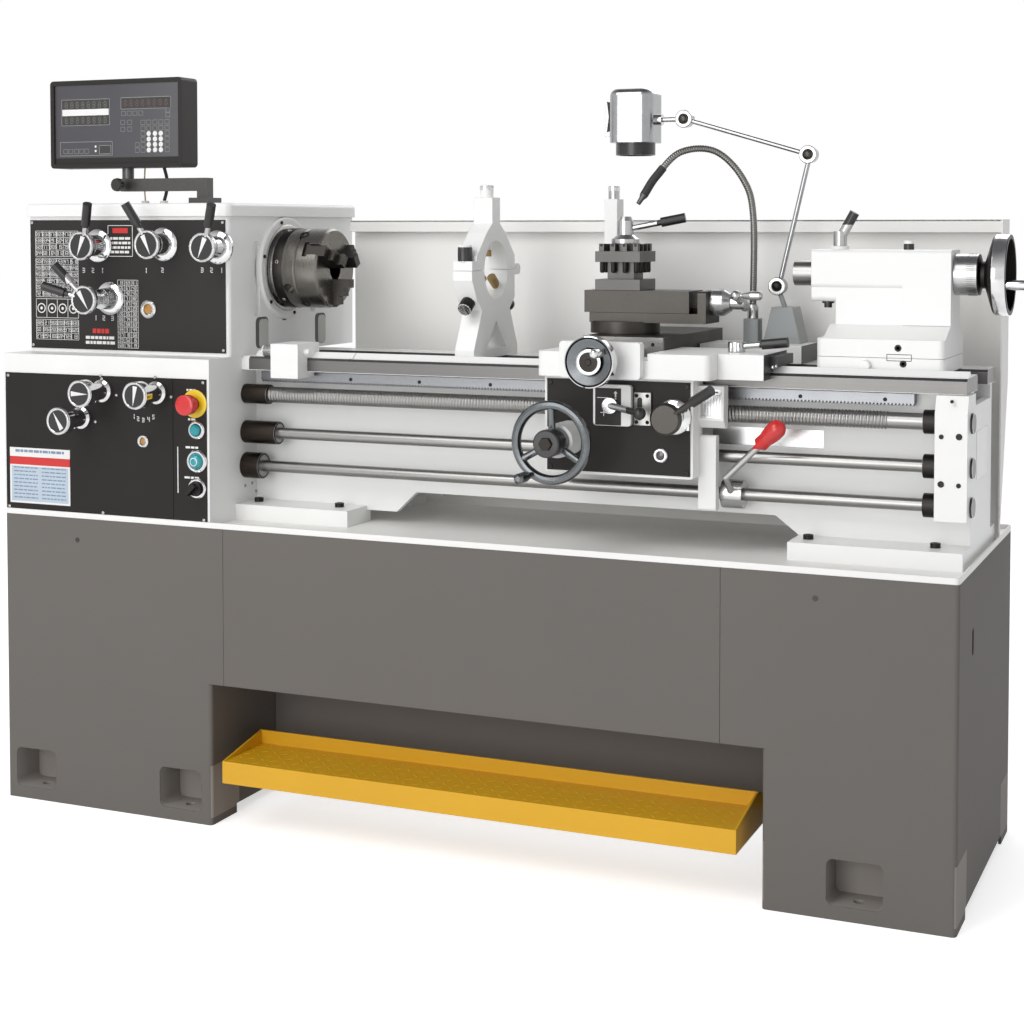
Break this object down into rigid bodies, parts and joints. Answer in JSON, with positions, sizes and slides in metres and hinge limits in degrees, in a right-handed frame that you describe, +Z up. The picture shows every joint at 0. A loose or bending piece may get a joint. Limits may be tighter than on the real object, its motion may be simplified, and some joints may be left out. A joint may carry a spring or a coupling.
{
  "type": "engine lathe",
  "caption": "Gap-bed engine lathe on a cabinet stand, with a geared headstock, jaw chuck, carriage, tailstock, rests, work lamp and digital readout.",
  "frame": {"origin": "on the floor, at the middle of the stand's four outer anchor bolts", "axes": "+X along the bed from headstock to tailstock, +Y away from the operator, +Z up"},
  "size_m": [2.031, 0.6983, 1.45],
  "materials": {
    "stand_paint": "semi-gloss warm grey",
    "white_paint": "semi-gloss warm white",
    "bed_paint": "semi-gloss warm white on cast iron, ways ground",
    "tray_steel": "grey sheet",
    "panel_black": "satin black plate",
    "ground_steel": "ground",
    "dark_steel": "blackened",
    "chrome": "polished",
    "grip_black": "moulded",
    "treadle_yellow": "gloss yellow",
    "red_plastic": "moulded",
    "teal_plastic": "moulded",
    "case_plastic": "light grey",
    "cable_rubber": "smooth"
  },
  "bodies": {
    "base": {"left_pedestal": "stand_paint", "right_pedestal": "stand_paint", "front_panel": "stand_paint", "chip_tray": "tray_steel", "splash_guard": "white_paint", "bed": "bed_paint", "rack": "ground_steel", "shaft_bracket": "white_paint", "gearbox_housing": "panel_black", "headstock_housing": "white_paint", "headstock_lid": "white_paint", "bed_stop": "white_paint", "dro_arm": "dark_steel", "readout_cables": "cable_rubber", "steady_rest_base": "white_paint"},
    "spindle_unit": {"spindle": "ground_steel", "chuck_body": "ground_steel"},
    "jaw_1": {"chuck_jaw_1": "dark_steel"},
    "jaw_2": {"chuck_jaw_2": "dark_steel"},
    "jaw_3": {"chuck_jaw_3": "dark_steel"},
    "speed_lever_1": {"speed_lever_1": "chrome"},
    "speed_lever_2": {"speed_lever_2": "chrome"},
    "speed_lever_3": {"speed_lever_3": "chrome"},
    "speed_lever_4": {"speed_lever_4": "chrome"},
    "feed_knob_1": {"feed_knob_1": "chrome"},
    "feed_knob_2": {"feed_knob_2": "chrome"},
    "feed_knob_3": {"feed_knob_3": "chrome"},
    "estop": {"estop_button": "red_plastic"},
    "jog": {"jog_button": "teal_plastic"},
    "coolant_switch": {"coolant_switch": "grip_black"},
    "leadscrew": {"leadscrew": "ground_steel"},
    "feed_rod": {"feed_rod": "ground_steel"},
    "control_rod": {"control_rod": "ground_steel"},
    "treadle": {"brake_treadle": "treadle_yellow"},
    "steady_cap": {"steady_rest_cap": "white_paint"},
    "readout": {"dro_case": "case_plastic"},
    "carriage": {"saddle": "white_paint", "apron": "white_paint", "follow_rest": "white_paint", "lamp_base": "white_paint", "coolant_hose": "chrome"},
    "cross_slide": {"cross_slide": "ground_steel"},
    "compound": {"compound_base": "ground_steel"},
    "top_slide": {"top_slide": "ground_steel"},
    "tool_post": {"tool_post": "dark_steel"},
    "tool_post_lever": {"tool_post_lever": "chrome"},
    "compound_crank": {"compound_handle": "chrome"},
    "cross_handwheel": {"cross_handwheel": "dark_steel"},
    "apron_handwheel": {"apron_handwheel": "dark_steel"},
    "half_nut_lever": {"half_nut_lever": "chrome"},
    "feed_lever": {"feed_lever": "chrome"},
    "carriage_lock": {"carriage_lock": "chrome"},
    "control_lever": {"control_lever": "chrome"},
    "lamp_lower": {"lamp_lower_arm": "chrome"},
    "lamp_upper": {"lamp_upper_arm": "chrome"},
    "lamp_head": {"lamp_head": "chrome"},
    "tailstock": {"tailstock": "white_paint"},
    "quill": {"quill": "ground_steel"},
    "tail_handwheel": {"tailstock_handwheel": "dark_steel"},
    "quill_lock": {"quill_lock": "chrome"}
  },
  "joints": [
    {"name": "spindle_turn", "type": "hinge", "parent": "base", "child": "spindle_unit", "pos_m": [-0.4, 0, 1.066], "axis": [1, 0, 0], "continuous": true},
    {"name": "leadscrew_turn", "type": "hinge", "parent": "base", "child": "leadscrew", "pos_m": [-0.416, -0.155, 0.822], "axis": [1, 0, 0], "continuous": true},
    {"name": "feed_rod_turn", "type": "hinge", "parent": "base", "child": "feed_rod", "pos_m": [-0.416, -0.155, 0.747], "axis": [1, 0, 0], "continuous": true},
    {"name": "jaw_1_slide", "type": "slide", "parent": "spindle_unit", "child": "jaw_1", "axis": [0, 0, -1], "range_m": [-0.01, 0.016]},
    {"name": "jaw_2_slide", "type": "slide", "parent": "spindle_unit", "child": "jaw_2", "axis": [0, 0.866, 0.5], "range_m": [-0.01, 0.016]},
    {"name": "jaw_3_slide", "type": "slide", "parent": "spindle_unit", "child": "jaw_3", "axis": [0, -0.866, 0.5], "range_m": [-0.01, 0.016]},
    {"name": "speed_lever_1_turn", "type": "hinge", "parent": "base", "child": "speed_lever_1", "pos_m": [-0.71778, -0.213, 1.11185], "axis": [0, -1, 0], "range_deg": [-25, 25]},
    {"name": "speed_lever_2_turn", "type": "hinge", "parent": "base", "child": "speed_lever_2", "pos_m": [-0.56308, -0.213, 1.11513], "axis": [0, -1, 0], "range_deg": [-25, 25]},
    {"name": "speed_lever_3_turn", "type": "hinge", "parent": "base", "child": "speed_lever_3", "pos_m": [-0.43742, -0.213, 1.10994], "axis": [0, -1, 0], "range_deg": [-25, 25]},
    {"name": "speed_lever_4_turn", "type": "hinge", "parent": "base", "child": "speed_lever_4", "pos_m": [-0.69018, -0.213, 1.00702], "axis": [0, -1, 0], "range_deg": [-20, 20]},
    {"name": "feed_knob_1_turn", "type": "hinge", "parent": "base", "child": "feed_knob_1", "pos_m": [-0.65507, -0.288, 0.83001], "axis": [0, -1, 0], "range_deg": [-60, 60]},
    {"name": "feed_knob_2_turn", "type": "hinge", "parent": "base", "child": "feed_knob_2", "pos_m": [-0.7052, -0.288, 0.77578], "axis": [0, -1, 0], "range_deg": [-60, 60]},
    {"name": "feed_knob_3_turn", "type": "hinge", "parent": "base", "child": "feed_knob_3", "pos_m": [-0.52879, -0.288, 0.83097], "axis": [0, -1, 0], "range_deg": [-60, 60]},
    {"name": "estop_press", "type": "slide", "parent": "base", "child": "estop", "axis": [0, 1, 0], "range_m": [0, 0.006], "stiffness_N_per_m": 1500, "springref_m": -0.004},
    {"name": "jog_press", "type": "slide", "parent": "base", "child": "jog", "axis": [0, 1, 0], "range_m": [0, 0.004], "stiffness_N_per_m": 1000, "springref_m": -0.003},
    {"name": "coolant_switch_turn", "type": "hinge", "parent": "base", "child": "coolant_switch", "pos_m": [-0.44203, -0.288, 0.65009], "axis": [0, -1, 0], "range_deg": [-45, 45]},
    {"name": "treadle_tilt", "type": "hinge", "parent": "base", "child": "treadle", "pos_m": [-0.377, -0.092, 0.115], "axis": [1, 0, 0], "range_deg": [0, 10], "stiffness_Nm_per_rad": 60, "springref_deg": -17.19},
    {"name": "steady_cap_open", "type": "hinge", "parent": "base", "child": "steady_cap", "pos_m": [0.035, 0.108, 1.066], "axis": [1, 0, 0], "range_deg": [-60, 0]},
    {"name": "readout_swivel", "type": "hinge", "parent": "base", "child": "readout", "pos_m": [-0.727, -0.1, 1.27], "axis": [0, 0, 1], "range_deg": [-30, 30]},
    {"name": "carriage_slide", "type": "slide", "parent": "base", "child": "carriage", "axis": [1, 0, 0], "range_m": [-0.14, 0.035]},
    {"name": "apron_handwheel_turn", "type": "hinge", "parent": "carriage", "child": "apron_handwheel", "pos_m": [0.303, -0.238, 0.777], "axis": [0, 1, 0], "range_deg": [-2521, 631]},
    {"name": "cross_slide_travel", "type": "slide", "parent": "carriage", "child": "cross_slide", "axis": [0, 1, 0], "range_m": [-0.085, 0.03]},
    {"name": "cross_handwheel_turn", "type": "hinge", "parent": "carriage", "child": "cross_handwheel", "pos_m": [0.372, -0.255, 0.918], "axis": [0, 1, 0], "range_deg": [-6121, 2161]},
    {"name": "compound_swivel", "type": "hinge", "parent": "cross_slide", "child": "compound", "pos_m": [0.328, -0.02, 0.9523], "axis": [0, 0, 1], "range_deg": [-40, 8]},
    {"name": "top_slide_travel", "type": "slide", "parent": "compound", "child": "top_slide", "axis": [-1, 0, 0], "range_m": [-0.015, 0.02]},
    {"name": "compound_crank_turn", "type": "hinge", "parent": "compound", "child": "compound_crank", "pos_m": [0.498, -0.02, 1.0111], "axis": [-1, 0, 0], "range_deg": [-1801, 2401]},
    {"name": "tool_post_turn", "type": "hinge", "parent": "top_slide", "child": "tool_post", "pos_m": [0.328, -0.02, 1.0319], "axis": [0, 0, 1], "continuous": true},
    {"name": "tool_post_clamp", "type": "hinge", "parent": "top_slide", "child": "tool_post_lever", "pos_m": [0.328, -0.02, 1.1182], "axis": [0, 0, 1], "range_deg": [-45, 45]},
    {"name": "half_nut_turn", "type": "hinge", "parent": "carriage", "child": "half_nut_lever", "pos_m": [0.497, -0.238, 0.821], "axis": [0, -1, 0], "range_deg": [-25, 25]},
    {"name": "feed_select", "type": "hinge", "parent": "carriage", "child": "feed_lever", "pos_m": [0.386, -0.238, 0.838], "axis": [0, -1, 0], "range_deg": [-15, 15]},
    {"name": "carriage_lock_turn", "type": "hinge", "parent": "carriage", "child": "carriage_lock", "pos_m": [0.582, -0.15, 0.93], "axis": [0, 0, 1], "range_deg": [-25, 30]},
    {"name": "control_lever_tilt", "type": "hinge", "parent": "carriage", "child": "control_lever", "pos_m": [0.531, -0.155, 0.681], "axis": [1, 0, 0], "range_deg": [-12, 20]},
    {"name": "control_rod_turn", "type": "hinge", "parent": "base", "child": "control_rod", "pos_m": [-0.416, -0.155, 0.681], "axis": [1, 0, 0], "range_deg": [-12, 20]},
    {"name": "lamp_shoulder", "type": "hinge", "parent": "carriage", "child": "lamp_lower", "pos_m": [0.579, 0.138, 1.037], "axis": [0, 1, 0], "range_deg": [-3, 25]},
    {"name": "lamp_elbow", "type": "hinge", "parent": "lamp_lower", "child": "lamp_upper", "pos_m": [0.637, 0.138, 1.285], "axis": [0, 1, 0], "range_deg": [-2, 30]},
    {"name": "lamp_neck", "type": "hinge", "parent": "lamp_upper", "child": "lamp_head", "pos_m": [0.393, 0.138, 1.357], "axis": [0, 1, 0], "range_deg": [-30, 30]},
    {"name": "tailstock_slide", "type": "slide", "parent": "base", "child": "tailstock", "axis": [1, 0, 0], "range_m": [-0.035, 0.045]},
    {"name": "tail_handwheel_turn", "type": "hinge", "parent": "tailstock", "child": "tail_handwheel", "pos_m": [0.934, 0, 1.066], "axis": [-1, 0, 0], "range_deg": [0, 2880]},
    {"name": "quill_travel", "type": "slide", "parent": "tailstock", "child": "quill", "axis": [-1, 0, 0], "range_m": [0, 0.04]},
    {"name": "quill_lock_turn", "type": "hinge", "parent": "tailstock", "child": "quill_lock", "pos_m": [0.729, 0, 1.109], "axis": [0, 0, 1], "range_deg": [-30, 30]}
  ],
  "couplings": [
    {"joint": "leadscrew_turn", "follows": "spindle_turn", "ratio": 0.25},
    {"joint": "feed_rod_turn", "follows": "spindle_turn", "ratio": 0.2},
    {"joint": "jaw_2_slide", "follows": "jaw_1_slide", "ratio": 1},
    {"joint": "jaw_3_slide", "follows": "jaw_1_slide", "ratio": 1},
    {"joint": "apron_handwheel_turn", "follows": "carriage_slide", "rad_per_m": 314.16},
    {"joint": "cross_handwheel_turn", "follows": "cross_slide_travel", "rad_per_m": 1256.6},
    {"joint": "compound_crank_turn", "follows": "top_slide_travel", "rad_per_m": 2094.4},
    {"joint": "quill_travel", "follows": "tail_handwheel_turn", "m_per_rad": 0.00079577},
    {"joint": "control_rod_turn", "follows": "control_lever_tilt", "ratio": 1}
  ]
}
